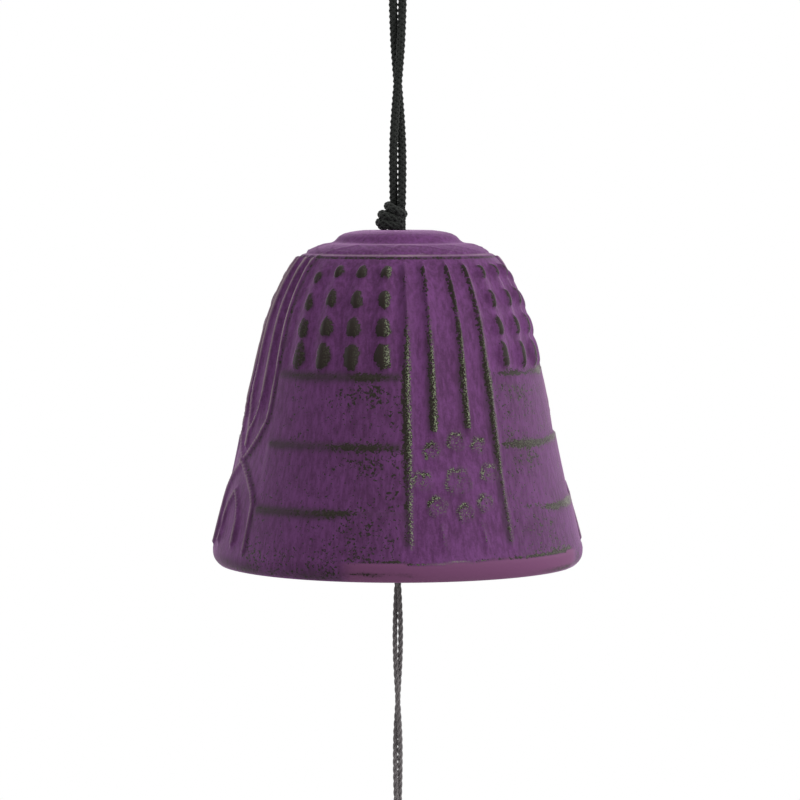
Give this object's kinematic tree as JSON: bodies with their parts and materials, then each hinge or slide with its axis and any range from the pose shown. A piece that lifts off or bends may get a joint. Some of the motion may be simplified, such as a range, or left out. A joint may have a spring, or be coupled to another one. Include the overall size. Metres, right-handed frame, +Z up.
{
  "type": "wind bell",
  "caption": "Cast iron wind bell with raised ridges and seed-like nubs, on a doubled cord with a hanging loop, with a round clapper inside and a paper strip that catches the wind.",
  "frame": {"origin": "inner top of the hanging loop, where the hook or nail carries it, on the bell's axis", "axes": "+Z up along the hanging cord and the bell's axis, -Y towards the front of the picture, +X to its right"},
  "size_m": [0.07, 0.07, 0.2871],
  "materials": {
    "painted_iron": "purple paint, rubbed back to dark green-grey with dull gold flecks on the raised ornament",
    "clapper_iron": "bare black casting",
    "thick_cord": "black braided cord",
    "thin_cord": "grey-brown laid string",
    "paper": "plain uncoated off-white"
  },
  "bodies": {
    "loop": {"hanging_loop": "thick_cord"},
    "cord": {"hanging_leg_left": "thick_cord", "hanging_leg_right": "thick_cord"},
    "knots": {"crown_knot": "thick_cord", "stopper_knot": "thick_cord"},
    "bell": {"bell": "painted_iron"},
    "hitch": {"clapper_hitch": "thin_cord"},
    "clapper": {"clapper_leg_left": "thin_cord", "clapper_leg_right": "thin_cord", "clapper": "clapper_iron", "clapper_knot": "thin_cord"},
    "tail": {"tail_leg_left": "thin_cord", "tail_leg_right": "thin_cord"},
    "tie": {"tail_knot": "thin_cord"},
    "strip": {"paper_strip": "paper"}
  },
  "joints": [
    {"name": "cord_swing", "type": "hinge", "parent": "loop", "child": "cord", "pos_m": [0, 0, -0.015], "axis": [1, 0, 0], "range_deg": [-30, 30]},
    {"name": "bell_swing", "type": "hinge", "parent": "cord", "child": "knots", "pos_m": [0, 0, -0.0557], "axis": [0, 1, 0], "range_deg": [-20, 20]},
    {"name": "bell_turn", "type": "hinge", "parent": "knots", "child": "bell", "pos_m": [0, 0, -0.0599], "axis": [0, 0, 1], "continuous": true},
    {"name": "clapper_turn", "type": "hinge", "parent": "knots", "child": "hitch", "pos_m": [0, 0, -0.0667], "axis": [0, 0, 1], "continuous": true},
    {"name": "clapper_swing", "type": "hinge", "parent": "hitch", "child": "clapper", "pos_m": [0, 0, -0.0691], "axis": [1, 0, 0], "range_deg": [-21.2, 21.2]},
    {"name": "tail_swing", "type": "hinge", "parent": "clapper", "child": "tail", "pos_m": [0, 0, -0.1174], "axis": [1, 0, 0], "range_deg": [-25, 25]},
    {"name": "strip_turn", "type": "hinge", "parent": "tail", "child": "tie", "pos_m": [0, 0, -0.1691], "axis": [0, 0, 1], "continuous": true},
    {"name": "strip_swing", "type": "hinge", "parent": "tie", "child": "strip", "pos_m": [0, 0, -0.1763], "axis": [1, 0, 0], "range_deg": [-45, 45]}
  ]
}
